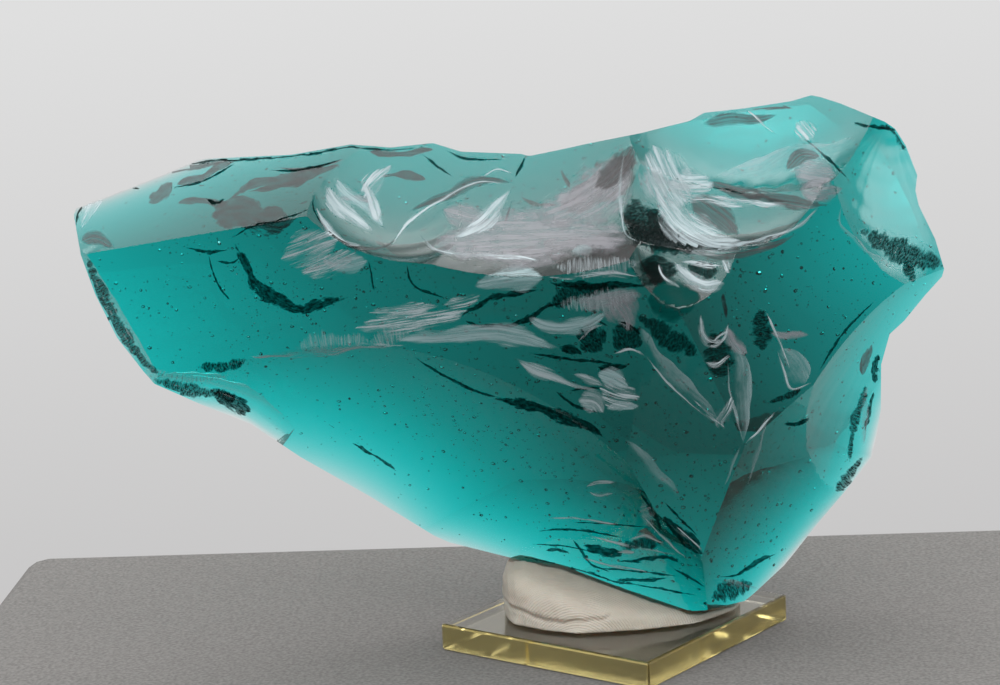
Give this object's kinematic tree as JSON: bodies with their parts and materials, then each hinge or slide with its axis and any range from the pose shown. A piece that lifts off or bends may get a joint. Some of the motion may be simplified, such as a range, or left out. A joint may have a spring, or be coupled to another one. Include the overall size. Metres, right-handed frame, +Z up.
{
  "type": "glass specimen on display base",
  "caption": "Chunk of teal see-through andara glass with shell-shaped fracture hollows, bedded in putty on a square clear acrylic base.",
  "frame": {"origin": "centre of the display base's underside, where it rests", "axes": "+Z up; X along the chunk's length, its blunt end at +X and its thin tip at -X; -Y is the face shown in front"},
  "size_m": [0.1739, 0.0698, 0.1058],
  "materials": {
    "teal_glass": "fresh conchoidal fracture, glossy",
    "mineral_putty": "matt, hand pressed",
    "clear_acrylic": "polished, slightly yellowed"
  },
  "bodies": {
    "root": {"glass_chunk": "teal_glass", "mounting_putty": "mineral_putty", "display_base": "clear_acrylic"}
  },
  "joints": []
}
